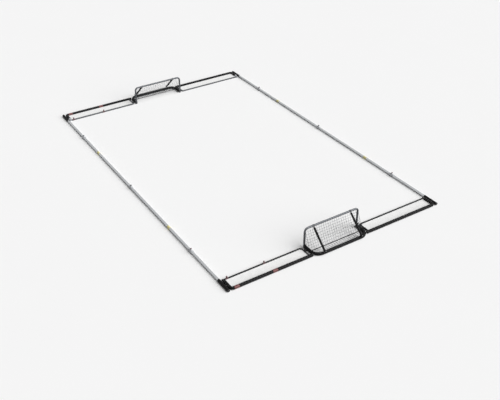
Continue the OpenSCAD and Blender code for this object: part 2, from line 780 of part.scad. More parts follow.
// Outline of the net's rear sheet, drawn in by m: x across, y down along the sheet
function net_outline(m) = let (
    corner_low = net_corner_x + sqrt(pow(net_corner_r, 2) - pow(net_corner_r - m
        - net_corner_drop * -net_dir.y, 2)),
    half = [
        [net_corner_x + net_corner_in - m, m],
        [corner_low - m - net_corner_back, net_corner_drop],
        [net_half - m, net_corner_drop + net_corner_fall],
        [net_half - m, net_notch - m],
        [net_low_half - m, net_notch - m],
        [net_low_half - m, net_len - m]
    ])
    concat(half, [for (i = [len(half) - 1:-1:0]) [-half[i].x, half[i].y]]);

module mesh_gaps(columns, rows, start) {
    for (i = [0:columns - 1]) for (j = [0:rows - 1])
        translate([(i - columns / 2) * net_mesh + net_cord / 2, start + j * net_mesh + net_cord / 2])
            square(net_mesh - net_cord);
}

module rear_net_2d() {
    difference() {
        polygon(net_outline(0));
        intersection() {
            polygon(net_outline(net_cord));
            mesh_gaps(net_columns, net_rows, net_row_start);
        }
    }
}

// Side view of a side net, drawn in by m: between post, base arm and rear net
function side_outline(m) = let (
    front = -side_net_front - m,
    low = side_net_low + m,
    slope = side_net_slope,
    edge = net_top.x + side_net_clear + m * side_net_margin)
    [
        [front, low],
        [front, net_top.y + (front - edge) / slope - m],
        [edge - (net_top.y - low) * slope + m, low]
    ];

module side_net_2d() {
    difference() {
        polygon(side_outline(0));
        intersection() {
            polygon(side_outline(net_cord));
            for (i = [0:3]) for (j = [0:6])
                translate([-side_net_front - net_cord - (i + 1) * net_mesh + net_cord,
                    side_net_low + net_cord + j * net_mesh])
                    square(net_mesh - net_cord);
        }
    }
}

// The level part of the net, drawn in by m: from the net rod to the rear tube, x across and y back
function skirt_outline(m) = let (
    bend_x = base_arm_at - base_bend_r,
    bend_y = base_bend_r - goal_depth,
    mid = (base_bend_r - base_od / 2 - net_gap - m) * sqrt(1 / 2),
    half = [[net_low_half - m, -skirt_from - m], [bend_x + mid, bend_y - mid], [bend_x, m - skirt_to]])
    concat(half, [for (i = [len(half) - 1:-1:0]) [-half[i].x, half[i].y]]);

module skirt_2d() {
    rows = floor((skirt_to - skirt_from) / net_mesh);
    difference() {
        polygon(skirt_outline(0));
        intersection() {
            polygon(skirt_outline(net_cord));
            translate([0, -skirt_to]) mesh_gaps(net_columns, rows, (skirt_to - skirt_from
                - rows * net_mesh) / 2);
        }
    }
}

module goal_net() {
    color("slategray") at_mouth() {
        translate([0, net_top.x, net_top.y]) rotate([180 + net_lean, 0, 0])
            linear_extrude(net_cord, center = true) rear_net_2d();
        for (side = [-1, 1]) translate([side * net_half, 0, 0]) plate(net_cord) side_net_2d();
        translate([0, 0, net_foot.y]) linear_extrude(net_cord, center = true) skirt_2d();
    }
}

// ---- the nodes ----

rail_near_end(-1);  // left_rail_near_end
rail_near_middle(-1);  // left_rail_near_middle
rail_far_middle(-1);  // left_rail_far_middle
rail_far_end(-1);  // left_rail_far_end
rail_near_end(1);  // right_rail_near_end
rail_near_middle(1);  // right_rail_near_middle
rail_far_middle(1);  // right_rail_far_middle
rail_far_end(1);  // right_rail_far_end
coupler(-1, -1);  // left_near_coupler
coupler(-1, 0);  // left_middle_coupler
coupler(-1, 1);  // left_far_coupler
coupler(1, -1);  // right_near_coupler
coupler(1, 0);  // right_middle_coupler
coupler(1, 1);  // right_far_coupler
yellow_bands();
corner_sleeves();
tube_end_caps();
corner(-1, -1) panel_tube(true);  // near_left_panel_tube
corner(1, -1) panel_tube(false);  // near_right_panel_tube
corner(-1, 1) panel_tube(true);  // far_left_panel_tube
corner(1, 1) panel_tube(false);  // far_right_panel_tube
corner(-1, -1) panel_bar(true);  // near_left_panel_bar
corner(1, -1) panel_bar(false);  // near_right_panel_bar
corner(-1, 1) panel_bar(true);  // far_left_panel_bar
corner(1, 1) panel_bar(false);  // far_right_panel_bar
for (side = [-1, 1]) corner(side, -1) panel_net();  // near_panel_nets
for (side = [-1, 1]) corner(side, 1) panel_net();  // far_panel_nets
bar_end_fittings();
red_tube_sleeves();
bar_clamps();
color("gray") at_every_plunger() plunger_bushing();  // plunger_bushings
color("silver") at_every_plunger() plunger_spring();  // plunger_springs
link_spacers();
link_bolts();
corner(-1, -1) goal_base();  // near_goal_base
corner(-1, 1) goal_base();  // far_goal_base
net_rods();
corner(-1, -1) goal_net();  // near_goal_net
corner(-1, 1) goal_net();  // far_goal_net
hinge_pins();
corner(-1, -1) goal_hoop();  // near_goal_hoop
corner(-1, 1) goal_hoop();  // far_goal_hoop
corner(-1, -1) strut();  // near_left_strut
corner(1, -1) strut();  // near_right_strut
corner(-1, 1) strut();  // far_left_strut
corner(1, 1) strut();  // far_right_strut
corner(-1, -1) strut_clip();  // near_left_strut_clip
corner(1, -1) strut_clip();  // near_right_strut_clip
corner(-1, 1) strut_clip();  // far_left_strut_clip
corner(1, 1) strut_clip();  // far_right_strut_clip
color("red") at_coupler(-1, -1) plunger_knob();  // left_near_knob
color("black") at_coupler(-1, 0) plunger_knob();  // left_middle_knob
color("gray") at_coupler(-1, 1) plunger_knob();  // left_far_knob
color("red") at_coupler(1, -1) plunger_knob();  // right_near_knob
color("black") at_coupler(1, 0) plunger_knob();  // right_middle_knob
color("red") at_coupler(1, 1) plunger_knob();  // right_far_knob
color("red") at_clamp(clamp_first, -1) plunger_knob();  // near_left_first_bar_knob
color("red") at_clamp(clamp_second, -1) plunger_knob();  // near_left_second_bar_knob
color("red") at_clamp(clamp_first, 1) plunger_knob();  // far_left_first_bar_knob
color("red") at_clamp(clamp_second, 1) plunger_knob();  // far_left_second_bar_knob
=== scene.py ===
"""Finishes, nets, lacing and studio for the kerb-framed ball court with two folding goals."""

import json
import logging
import math
from collections.abc import Iterable, Sequence
from dataclasses import KW_ONLY, dataclass
from enum import Enum

import bmesh
import bpy
from mathutils import Matrix, Vector


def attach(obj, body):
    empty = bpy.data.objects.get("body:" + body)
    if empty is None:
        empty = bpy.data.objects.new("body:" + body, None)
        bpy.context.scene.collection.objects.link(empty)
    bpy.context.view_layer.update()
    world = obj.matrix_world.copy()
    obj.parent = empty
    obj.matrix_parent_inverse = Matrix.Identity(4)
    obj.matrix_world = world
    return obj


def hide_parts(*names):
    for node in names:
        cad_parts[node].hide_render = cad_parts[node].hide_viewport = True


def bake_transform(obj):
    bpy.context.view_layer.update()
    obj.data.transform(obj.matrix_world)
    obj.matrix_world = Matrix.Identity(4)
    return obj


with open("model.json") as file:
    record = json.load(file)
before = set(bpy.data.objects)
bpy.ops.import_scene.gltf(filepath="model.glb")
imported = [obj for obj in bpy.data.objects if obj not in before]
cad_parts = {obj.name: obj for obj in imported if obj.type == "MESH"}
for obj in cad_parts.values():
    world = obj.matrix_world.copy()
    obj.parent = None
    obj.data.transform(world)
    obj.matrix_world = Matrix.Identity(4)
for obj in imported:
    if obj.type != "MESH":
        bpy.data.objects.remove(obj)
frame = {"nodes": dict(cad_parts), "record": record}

Tree = bpy.types.NodeTree
Socket = bpy.types.NodeSocket
Shape = bmesh.types.BMesh
Material = bpy.types.Material
Piece = bpy.types.Object
Inputs = dict[str, float | Socket]
Cords = tuple[list[list[Vector]], list[Vector]]

LOG = logging.getLogger("ball_court")
MM = 0.001
TURN = 2 * math.pi
UP = Vector((0, 0, 1))
CORE = 0.0002  # radius, in millimetres, that keeps a spun profile off its axis


class Side(Enum):
    """Left or right of the court, as a sign on X."""

    LEFT = -1
    RIGHT = 1


class End(Enum):
    """Near or far end of the court, as a sign on Y."""

    NEAR = -1
    FAR = 1


# ---- colour and nodes ----


def linear(code: str) -> tuple[float, float, float, float]:
    """Turns an sRGB hex colour to linear.

    Args:
        code: Six hex digits with a leading hash.

    Returns:
        Red, green, blue and an alpha of 1.
    """
    parts = [int(code[i : i + 2], 16) / 255 for i in (1, 3, 5)]
    made = [c / 12.92 if c <= 0.04045 else ((c + 0.055) / 1.055) ** 2.4 for c in parts]
    return (made[0], made[1], made[2], 1.0)


def add_node(
    tree: Tree,
    kind: str,
    settings: dict | None = None,
    inputs: dict | None = None,
) -> bpy.types.Node:
    """Adds one node with its settings and links.

    Args:
        tree: Node tree that gets the node.
        kind: Blender's name for the node's type.
        settings: Attributes of the node.
        inputs: Values or output sockets, by the input's name or number.

    Returns:
        The node.
    """
    node = tree.nodes.new(kind)
    for key, value in (settings or {}).items():
        setattr(node, key, value)
    for key, value in (inputs or {}).items():
        if isinstance(value, Socket):
            tree.links.new(value, node.inputs[key])
        else:
            node.inputs[key].default_value = value
    return node


def ramped(tree: Tree, value: Socket, stops: Sequence[tuple[float, tuple]]) -> Socket:
    """Colours a value by two stops, each with a place and a colour.

    Args:
        tree: Node tree.
        value: What is coloured.
        stops: Place and colour of both.

    Returns:
        The colour.
    """
    node = add_node(tree, "ShaderNodeValToRGB", inputs={"Fac": value})
    for element, (place, colour) in zip(node.color_ramp.elements, stops):
        element.position = place
        element.color = colour
    return node.outputs["Color"]


def along_axis(tree: Tree, place: Socket, axis: str) -> Socket:
    """One coordinate of a place, "X", "Y" or "Z"."""
    return add_node(tree, "ShaderNodeSeparateXYZ", inputs={"Vector": place}).outputs[axis]


def noise(tree: Tree, place: Socket, scale: float, detail: float, roughness: float = 0.5) -> Socket:
    """Cloudy noise from 0 to 1, with a scale in patches per metre."""
    inputs = {"Vector": place, "Scale": scale, "Detail": detail, "Roughness": roughness}
    return add_node(tree, "ShaderNodeTexNoise", inputs=inputs).outputs["Fac"]


def cells(tree: Tree, place: Socket, size_mm: float) -> Socket:
    """Distance from the middle of small cells, whose size is in millimetres."""
    inputs = {"Vector": place, "Scale": 1 / (size_mm * MM)}
    return add_node(tree, "ShaderNodeTexVoronoi", inputs=inputs).outputs["Distance"]


def spread(
    tree: Tree, value: Socket, span: tuple[float, float], to: tuple[float, float]
) -> Socket:
    """Maps a span of values to another one.

    Args:
        tree: Node tree.
        value: What is mapped.
        span: Its lowest and highest value.
        to: What these two become.

    Returns:
        The mapped value.
    """
    names = ("Value", "From Min", "From Max", "To Min", "To Max")
    inputs = dict(zip(names, (value, *span, *to)))
    return add_node(tree, "ShaderNodeMapRange", inputs=inputs).outputs["Result"]


def math_of(tree: Tree, operation: str, *values: float | Socket) -> Socket:
    """Does one sum, comparison or the like on values or sockets."""
    settings = {"operation": operation}
    return add_node(tree, "ShaderNodeMath", settings, dict(enumerate(values))).outputs["Value"]


def mixed(tree: Tree, share: Socket, first: str, second: str) -> Socket:
    """Mixes two sRGB colours by a share of the second."""
    inputs = {0: share, 6: linear(first), 7: linear(second)}
    return add_node(tree, "ShaderNodeMix", {"data_type": "RGBA"}, inputs).outputs[2]


def toned(tree: Tree, colour: tuple | Socket, level: Socket) -> Socket:
    """Makes a colour lighter or darker by a level round 1."""
    inputs = {"Color": colour, "Value": level}
    return add_node(tree, "ShaderNodeHueSaturation", inputs=inputs).outputs["Color"]


def bumped(tree: Tree, height: Socket, strength: float, depth_mm: float) -> Socket:
    """Surface normal of a relief that is depth_mm deep."""
    inputs = {"Height": height, "Strength": strength, "Distance": depth_mm * MM}
    return add_node(tree, "ShaderNodeBump", inputs=inputs).outputs["Normal"]


# ---- finishes ----


@dataclass(frozen=True)
class Finish:
    """One finish, which becomes a material of that name."""

    name: str

    def surface(self, tree: Tree, place: Socket) -> Inputs:
        """Builds the finish's own nodes.

        Args:
            tree: The material's nodes.
            place: Object coordinates in metres.

        Returns:
            Inputs of the surface shader.
        """
        raise NotImplementedError

    def make(self) -> Material:
        """Builds the material.

        Returns:
            The material.
        """
        material = bpy.data.materials.new(self.name)
        material.use_nodes = True
        tree = material.node_tree
        tree.nodes.clear()
        place = add_node(tree, "ShaderNodeTexCoord").outputs["Object"]
        shader = add_node(tree, "ShaderNodeBsdfPrincipled", inputs=self.surface(tree, place))
        add_node(tree, "ShaderNodeOutputMaterial", inputs={"Surface": shader.outputs[0]})
        return material


@dataclass(frozen=True)
class PowderCoat(Finish):
    """Powder-coated steel tube: a fine orange-peel skin with dust near the ground."""

    colour: str
    dust: str = "#2E2D2C"
    roughness: float = 0.58
    sheen_level: float = 0.12  # strength of the skin's reflection
    peel_mm: float = 2.2  # size of the skin's ripples
    scuff_mm: float = 60.0  # distance between rubbed places
    dust_height: float = 12 * MM
    dust_share: float = 0.18

    def surface(self, tree: Tree, place: Socket) -> Inputs:
        """Mixes dust into the skin where it is rubbed and on its lowest centimetre.

        Args:
            tree: The material's nodes.
            place: Object coordinates in metres.

        Returns:
            Inputs of the surface shader.
        """
        peel = noise(tree, place, 1 / (self.peel_mm * MM), 2.0)
        scuff = noise(tree, place, 1 / (self.scuff_mm * MM), 6.0, 0.7)
        rubbed = ramped(tree, scuff, [(0.56, (0, 0, 0, 1)), (0.72, (0.55, 0.55, 0.55, 1))])
        height = along_axis(tree, place, "Z")
        low = spread(tree, height, (0.0, self.dust_height), (0.5, 0.0))
        dusty = math_of(tree, "MAXIMUM", rubbed, low)
        share = math_of(tree, "MULTIPLY", dusty, self.dust_share)
        dull = min(1.0, self.roughness + 0.3)
        return {
            "Base Color": mixed(tree, share, self.colour, self.dust),
            "Roughness": spread(tree, dusty, (0.0, 1.0), (self.roughness, dull)),
            "Normal": bumped(tree, peel, 0.18, 0.4),
            "IOR": 1.5,
            "Specular IOR Level": self.sheen_level,
        }


@dataclass(frozen=True)
class DrawnAluminium(Finish):
    """Satin anodised aluminium: bright, with faint lines drawn along the tube."""

    colour: str
    roughness: float = 0.34
    line_mm: float = 1.6  # distance between drawing lines round the tube
    along: tuple[float, float, float] = (1.0, 0.004, 1.0)  # shrinks the pattern along the tube

    def surface(self, tree: Tree, place: Socket) -> Inputs:
        """Varies colour and roughness by the drawing lines and by soft clouds.

        Args:
            tree: The material's nodes.
            place: Object coordinates in metres.

        Returns:
            Inputs of the surface shader.
        """
        drawn = add_node(
            tree, "ShaderNodeMapping", inputs={"Vector": place, "Scale": self.along}
        ).outputs["Vector"]
        lines = noise(tree, drawn, 1 / (self.line_mm * MM), 3.0)
        both = math_of(tree, "ADD", lines, noise(tree, place, 9.0, 4.0))
        span = (0.7, 1.3)
        rough = spread(tree, both, span, (self.roughness - 0.07, self.roughness + 0.1))
        return {
            "Base Color": toned(tree, linear(self.colour), spread(tree, both, span, (0.95, 1.04))),
            "Metallic": 1.0,
            "Roughness": rough,
            "Normal": bumped(tree, lines, 0.08, 0.2),
        }


@dataclass(frozen=True)
class MouldedPlastic(Finish):
    """Injection-moulded nylon or ABS: even colour, spark-eroded grain, soft gloss."""

    colour: str
    roughness: float = 0.38
    grain_mm: float = 1.2  # grain of the mould's face
    gloss: float = 0.0  # share of clear gloss on top

    def surface(self, tree: Tree, place: Socket) -> Inputs:
        """Varies colour and roughness by the plastic's flow.

        Args:
            tree: The material's nodes.
            place: Object coordinates in metres.

        Returns:
            Inputs of the surface shader.
        """
        flow = noise(tree, place, 45.0, 3.0)
        span = (0.3, 0.7)
        rough = spread(tree, flow, span, (self.roughness - 0.05, self.roughness + 0.08))
        return {
            "Base Color": toned(tree, linear(self.colour), spread(tree, flow, span, (0.88, 1.08))),
            "Roughness": rough,
            "Normal": bumped(tree, cells(tree, place, self.grain_mm), 0.12, 0.3),
            "IOR": 1.53,
            "Coat Weight": self.gloss,
            "Coat Roughness": 0.12,
        }


@dataclass(frozen=True)
class TwoTonePlastic(Finish):
    """Moulded plastic in two colours that meet at a sharp line, with a spark-eroded grain."""

    first: str
    second: str
    roughness: float = 0.4
    grain_mm: float = 1.2  # grain of the mould's face

    def second_share(self, tree: Tree, place: Socket) -> Socket:
        """Is 1 where the second colour shows.

        Args:
            tree: The material's nodes.
            place: Object coordinates.

        Returns:
            The share.
        """
        raise NotImplementedError

    def surface(self, tree: Tree, place: Socket) -> Inputs:
        """Colours the two zones.

        Args:
            tree: The material's nodes.
            place: Object coordinates in metres.

        Returns:
            Inputs of the surface shader.
        """
        return {
            "Base Color": mixed(tree, self.second_share(tree, place), self.first, self.second),
            "Roughness": self.roughness,
            "Normal": bumped(tree, cells(tree, place, self.grain_mm), 0.12, 0.3),
            "IOR": 1.53,
        }


class LitAndShadedFittingPlastic(TwoTonePlastic):
    """Moulded fittings of the thin bars, as lit and shaded copies of one plastic: black with
    painted shade at the near end, light grey with painted light at the far end.
    """

    def second_share(self, tree: Tree, place: Socket) -> Socket:
        """Is 1 on the far half of the court."""
        return math_of(tree, "GREATER_THAN", along_axis(tree, place, "Y"), 0.0)


@dataclass(frozen=True)
class HookPlastic(TwoTonePlastic):
    """Moulded hooks of the struts: a grey jaw round the crossbar on a black neck."""

    crossbar: tuple[float, float] = (2.925, 0.348)  # distance from the middle, and height
    jaw_radius: float = 0.0195

    def second_share(self, tree: Tree, place: Socket) -> Socket:
        """Is 1 farther from the crossbar's axis than the jaw goes.

        Args:
            tree: The material's nodes.
            place: Object coordinates in metres.

        Returns:
            The share.
        """
        across = math_of(tree, "ABSOLUTE", along_axis(tree, place, "Y"))
        parts = {"Y": across, "Z": along_axis(tree, place, "Z")}
        spot = add_node(tree, "ShaderNodeCombineXYZ", inputs=parts)
        inputs = {0: spot.outputs["Vector"], 1: (0.0, *self.crossbar)}
        away = add_node(tree, "ShaderNodeVectorMath", {"operation": "DISTANCE"}, inputs)
        return math_of(tree, "GREATER_THAN", away.outputs["Value"], self.jaw_radius)


@dataclass(frozen=True)
class NetCloth(Finish):
    """Knitted polyester mesh cloth: white strands, with painted shade in the small pores between
    them.
    """

    strand: str
    pore_shade: str
    # the real pores are about 2 mm apart; they are drawn at 6 mm, so that they show
    pitch_mm: float = 6.0

    def surface(self, tree: Tree, place: Socket) -> Inputs:
        """Crosses two bands of strands.

        Args:
            tree: The material's nodes.
            place: Object coordinates in metres.

        Returns:
            Inputs of the surface shader.
        """
        waves = []
        for direction in ("X", "Y"):
            settings = {"wave_type": "BANDS", "bands_direction": direction, "wave_profile": "SIN"}
            # a band texture of scale 1 has a band every 2 pi / 20 metres
            scale = TURN / 20 / (self.pitch_mm * MM)
            inputs = {"Vector": place, "Scale": scale, "Distortion": 0.6, "Detail": 1.0}
            waves.append(add_node(tree, "ShaderNodeTexWave", settings, inputs).outputs["Fac"])
        strands = math_of(tree, "MAXIMUM", *waves)
        # the pores get a darker colour: painted shade for the shaded floor seen through the cloth
        strands_and_shaded_pores = ramped(tree, strands, [(0.28, linear(self.pore_shade)), (0.5, linear(self.strand))])
        faded = spread(tree, noise(tree, place, 14.0, 4.0), (0.3, 0.7), (0.95, 1.02))
        return {
            "Base Color": toned(tree, strands_and_shaded_pores, faded),
            "Roughness": 0.85,
            "Normal": bumped(tree, strands, 0.35, 0.6),
            "Sheen Weight": 0.15,
            "Sheen Roughness": 0.5,
        }


@dataclass(frozen=True)
class BraidedCord(Finish):
    """Braided polyester cord: matt, with the braid's crossing strands as light and dark flecks."""

    colour: str
    fleck: str
    braid_mm: float = 2.5  # length of one stitch of the braid

    def surface(self, tree: Tree, place: Socket) -> Inputs:
        """Colours and raises the stitches.

        Args:
            tree: The material's nodes.
            place: Object coordinates in metres.

        Returns:
            Inputs of the surface shader.
        """
        braid = cells(tree, place, self.braid_mm)
        return {
            "Base Color": mixed(tree, braid, self.colour, self.fleck),
            "Roughness": 0.8,
            "Normal": bumped(tree, braid, 0.4, 0.5),
            "Sheen Weight": 0.1,
            "Sheen Roughness": 0.5,
        }


@dataclass(frozen=True)
class StudioFloor(Finish):
    """Matt painted studio floor that carries on into the pale background."""

    colour: str

    def surface(self, tree: Tree, place: Socket) -> Inputs:
        """Clouds the paint very faintly.

        Args:
            tree: The material's nodes.
            place: Object coordinates in metres.

        Returns:
            Inputs of the surface shader.
        """
        level = spread(tree, noise(tree, place, 0.7, 2.0), (0.0, 1.0), (0.995, 1.005))
        return {
            "Base Color": toned(tree, linear(self.colour), level),
            "Roughness": 0.9,
            "Specular IOR Level": 0.1,
        }


class Finishes:
    """Every finish of the court, made once and shared."""

    def __init__(self) -> None:
        """Makes the materials by the record's slots."""
        made = {
            "rail_grey": DrawnAluminium("anodised_aluminium_rail", "#BDBFC1"),
            "coupler_grey": MouldedPlastic("moulded_coupler_grey", "#BFC1C4", roughness=0.45),
            "band_yellow": MouldedPlastic("adhesive_tape_yellow", "#D9D08E", roughness=0.5),
            "sleeve_dark": PowderCoat("powder_coat_sleeve", "#0D0D0E"),
            "cap_black": MouldedPlastic("polythene_cap_black", "#111112", roughness=0.5),
            "frame_black": PowderCoat("powder_coat_frame", "#0B0B0C"),
            # lit and shaded copies of one powder coat for the thin bars: painted shade on the black
            # bar_dark copy, painted light on the grey far copy
            "bar_dark": PowderCoat("powder_coat_bar", "#0B0B0C"),
            "bar_grey": PowderCoat("powder_coat_far_bar", "#5C5E61"),
            # the fittings' two colours are painted shade at the near end and painted light at the
            # far end
            "fitting_grey": LitAndShadedFittingPlastic("moulded_bar_fitting", "#19191A", "#A9ABAE"),
            # the second colour is painted shade in the cloth's pores
            "panel_net": NetCloth("knitted_mesh_cloth", "#F1F1F0", "#D9DADB"),
            "sleeve_red": MouldedPlastic("vinyl_sleeve_red", "#551614", roughness=0.45),
            "clamp_red": MouldedPlastic("moulded_clamp_red", "#45141A"),
            "bushing_grey": MouldedPlastic("acetal_bushing_grey", "#4E4F51"),
            "steel": DrawnAluminium("zinc_plated_steel", "#B9BABC", roughness=0.3),
            "goal_net": BraidedCord("braided_cord_net", "#222427", "#3B3D40"),
            "hoop_silver": DrawnAluminium(
                "satin_silver_hoop", "#5A5C5F", roughness=0.45, along=(0.01, 1.0, 0.01)
            ),
            "strut_black": PowderCoat("powder_coat_strut", "#0B0B0C"),
            "clip_silver": HookPlastic("moulded_crossbar_hook", "#5F6164", "#19191A"),
            **{
                f"knob_{shade}": MouldedPlastic(
                    f"knob_abs_{shade}", code, roughness=0.26, gloss=0.35
                )
                for shade, code in (("red", "#54131A"), ("black", "#121213"), ("grey", "#707275"))
            },
        }
        self.by_slot = {slot: finish.make() for slot, finish in made.items()}
        self.lacing = BraidedCord("braided_lacing_cord", "#3B3C3E", "#56585A").make()
        self.hem = BraidedCord("woven_hem_tape", "#E9E9E8", "#CFD0D0", braid_mm=3.0).make()
        self.eyelet = DrawnAluminium("nickel_plated_eyelet", "#C7C8CA", roughness=0.25).make()

    def dress_frame(self) -> None:
        """Gives every CAD node the finish of its slot."""
        slots = slots_by_node()
        for name, slot in slots.items():
            node = frame["nodes"][name]
            node.data.materials.clear()
            node.data.materials.append(self.by_slot[slot])
        LOG.info("dressed %d nodes", len(slots))


def slots_by_node() -> dict[str, str]:
    """Material slot of each CAD node."""
    return {part["node"]: part["material_slot"] for part in frame["record"]["subparts"]}


# ---- making pieces ----


def put_in_scene(name: str, data: bpy.types.ID) -> Piece:
    """Links a new object with the given data to the scene.

    Args:
        name: The object's name.
        data: Mesh, curve, lamp or camera.

    Returns:
        The object.
    """
    made = bpy.data.objects.new(name, data)
    bpy.context.scene.collection.objects.link(made)
    return made


def add_piece(name: str, shape: Shape, material: Material, smooth: bool = True) -> Piece:
    """Turns an edit mesh into a piece at the origin.

    Args:
        name: Piece name.
        shape: Edit mesh, which is freed.
        material: Its finish.
        smooth: Whether curved faces are shaded smooth.

    Returns:
        The object.
    """
    data = bpy.data.meshes.new(name)
    bmesh.ops.recalc_face_normals(shape, faces=shape.faces)
    shape.to_mesh(data)
    shape.free()
    data.materials.append(material)
    for polygon in data.polygons:
        polygon.use_smooth = smooth
    if smooth:
        data.set_sharp_from_angle(angle=math.radians(40))
    LOG.info("made %s with %d faces", name, len(data.polygons))
    return put_in_scene(name, data)


def fit_piece(
    name: str,
    shape: Shape,
    material: Material,
    body: str = "root",
    replaced: str = "",
) -> Piece:
    """Makes a piece that rides on one body.

    Args:
        name: Piece name.
        shape: Its edit mesh, which is freed.
        material: Its finish.
        body: The body that carries it.
        replaced: CAD node that it stands in for, if any.

    Returns:
        The object.
    """
    piece = add_piece(name, shape, material)
    if replaced:
        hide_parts(replaced)
    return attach(piece, body)


def cord_shape(
    paths: Iterable[Sequence[Vector]],
    radius: float,
    closed: bool = False,
    knots: Iterable[Vector] = (),
    knot_radius: float = 0.0,
) -> Shape:
    """Makes thin round cords along paths, with a knot at each given point.

    Args:
        paths: Points of each cord.
        radius: Radius of the cord.
        closed: Whether each path is a ring.
        knots: Places of the knots.
        knot_radius: Radius of a knot.

    Returns:
        The cords, in place.
    """
    curve = bpy.data.curves.new("cord_paths", "CURVE")
    curve.dimensions = "3D"
    curve.bevel_depth = radius
    curve.bevel_resolution = 1
    curve.use_fill_caps = not closed
    for path in paths:
        spline = curve.splines.new("POLY")
        spline.points.add(len(path) - 1)
        for point, place in zip(spline.points, path):
            point.co = (*place, 1.0)
        spline.use_cyclic_u = closed
    holder = put_in_scene("cord_holder", curve)
    ready = holder.evaluated_get(bpy.context.evaluated_depsgraph_get())
    mesh = bpy.data.meshes.new_from_object(ready)
    bpy.data.objects.remove(holder)
    bpy.data.curves.remove(curve)
    shape = bmesh.new()
    shape.from_mesh(mesh)
    bpy.data.meshes.remove(mesh)
    for place in knots:
        spot = Matrix.Translation(place)
        bmesh.ops.create_icosphere(shape, subdivisions=1, radius=knot_radius, matrix=spot)
    return shape


def evenly(start: float, stop: float, steps: int) -> list[float]:
    """Evenly spaced values from start to stop, with both of them."""
    return [start + (stop - start) * i / steps for i in range(steps + 1)]


def ring(
    centre: Vector, radius: float, axis: str, steps: int = 14, ground: float = 0.0
) -> list[Vector]:
    """Lays a closed loop round a tube.

    Args:
        centre: Middle of the loop.
        radius: Its radius.
        axis: The tube's own direction, "x" or "z".
        steps: Number of points.
        ground: Lowest height that a point may have.

    Returns:
        The loop's points.
    """
    points = []
    for i in range(steps):
        a = TURN * i / steps
        c, s = radius * math.cos(a), radius * math.sin(a)
        place = centre + Vector((0, c, s) if axis == "x" else (c, s, 0))
        place.z = max(place.z, ground)
        points.append(place)
    return points


def lathe(
    profile: Sequence[tuple[float, float]], centre: Vector, axis: Vector, steps: int
) -> Shape:
    """Spins a profile round an axis.

    Args:
        profile: Points as (radius, height along the axis) in millimetres, a closed loop.
        centre: Where height is zero.
        axis: Direction of the axis.
        steps: Number of steps round.

    Returns:
        The closed shape.
    """
    shape = bmesh.new()
    turn = UP.rotation_difference(axis).to_matrix().to_4x4()
    place = Matrix.Translation(centre) @ turn
    verts = [shape.verts.new(place @ Vector((r * MM, 0, h * MM))) for r, h in profile]
    edges = [shape.edges.new((verts[i], verts[(i + 1) % len(verts)])) for i in range(len(verts))]
    way = {"cent": centre, "axis": axis, "angle": TURN, "steps": steps}
    bmesh.ops.spin(shape, geom=verts + edges, use_merge=True, use_duplicate=False, **way)
    bmesh.ops.remove_doubles(shape, verts=shape.verts, dist=1e-6)
    return shape


def join(first: Shape, second: Shape) -> Shape:
    """Adds one edit mesh to another.

    Args:
        first: Gets the shape.
        second: Is added and freed.

    Returns:
        The first one.
    """
    carrier = bpy.data.meshes.new("carrier")
    second.to_mesh(carrier)
    second.free()
    first.from_mesh(carrier)
    bpy.data.meshes.remove(carrier)
    return first


# ---- plungers and couplers ----


@dataclass
class SubAssembly:
    """A sub-assembly of the court, with the sizes that several of them share, in metres."""

    finishes: Finishes
    _: KW_ONLY
    rail_x: float = 2.0
    coupler_at: float = 2.1
    arm_x: float = 1.946
    bar_y: float = 2.929
    clamp_places: tuple[float, float] = (0.064, 0.704)  # along the thin bar, from the arm's axis

    def rail_joints(self, height: float) -> dict[str, Vector]:
        """Finds where the rail tubes meet.

        Args:
            height: Height of each place.

        Returns:
            The places by side and row, such as left_near.
        """
        return {
            f"{side.name.lower()}_{row}": Vector((side.value * self.rail_x, y, height))
            for side in Side
            for row, y in (("near", -self.coupler_at), ("middle", 0.0), ("far", self.coupler_at))
        }


@dataclass(frozen=True)
class Knob:
    """Fluted pull knob on its pin, at rest over its housing; sizes are in millimetres."""

    name: str
    foot: Vector  # top of the tube that the pin locks
    slot: str
    finish: Material
    pin_reach: float = 2.5
    pin_radius: float = 2.5
    collar: tuple[float, float, float] = (5.5, 2.75, 4.25)  # radius, underside and top
    neck: float = 8.0
    base: float = 17.95  # underside of the knob
    dimple: tuple[float, float] = (3.5, 0.3)  # radius and depth
    height: float = 13.0
    radius: float = 13.0
    flutes: int = 12
    flute_depth: float = 1.1

    def pin(self) -> Shape:
        """Builds the pin with its collar.

        Returns:
            The shape.
        """
        r, reach, top = self.pin_radius, -self.pin_reach, self.base + 2
        wide, low, high = self.collar
        profile = [(CORE, reach), (r - 0.4, reach), (r, reach + 0.4), (r, low), (wide, low)]
        profile += [(wide, high), (r, high), (r, top), (CORE, top)]
        return lathe(profile, self.foot, UP, 24)

    def cap(self) -> Shape:
        """Builds the cap and presses the flutes into its rim.

        Returns:
            The shape.
        """
        r, neck, base = self.radius, self.neck, self.base
        skirt, top = base + self.height / 4, base + self.height
        low = top - self.dimple[1]
        profile = [(CORE, base), (neck - 0.6, base), (neck, base + 0.6), (neck, skirt - 0.4)]
        profile += [(r - 2.2, skirt), (r - 0.6, skirt + 1.2), (r, skirt + 3), (r, top - 3.2)]
        profile += [(r - 0.8, top - 1.4), (r - 2.6, top - 0.4), (r - 5, top)]
        profile += [(self.dimple[0], low), (CORE, low)]
        cap = lathe(profile, self.foot, UP, self.flutes * 6)
        for vert in cap.verts:
            flat = Vector((vert.co.x - self.foot.x, vert.co.y - self.foot.y, 0))
            if flat.length > (r - 1.2) * MM:
                dip = 0.5 - 0.5 * math.cos(self.flutes * math.atan2(flat.y, flat.x))
                vert.co -= flat.normalized() * dip * self.flute_depth * MM
        return cap

    def make(self) -> None:
        """Builds the knob and puts it on its plunger body."""
        shape, body = join(self.cap(), self.pin()), self.name.replace("_knob", "_plunger")
        fit_piece(f"{self.name}_grip", shape, self.finish, body, self.name)


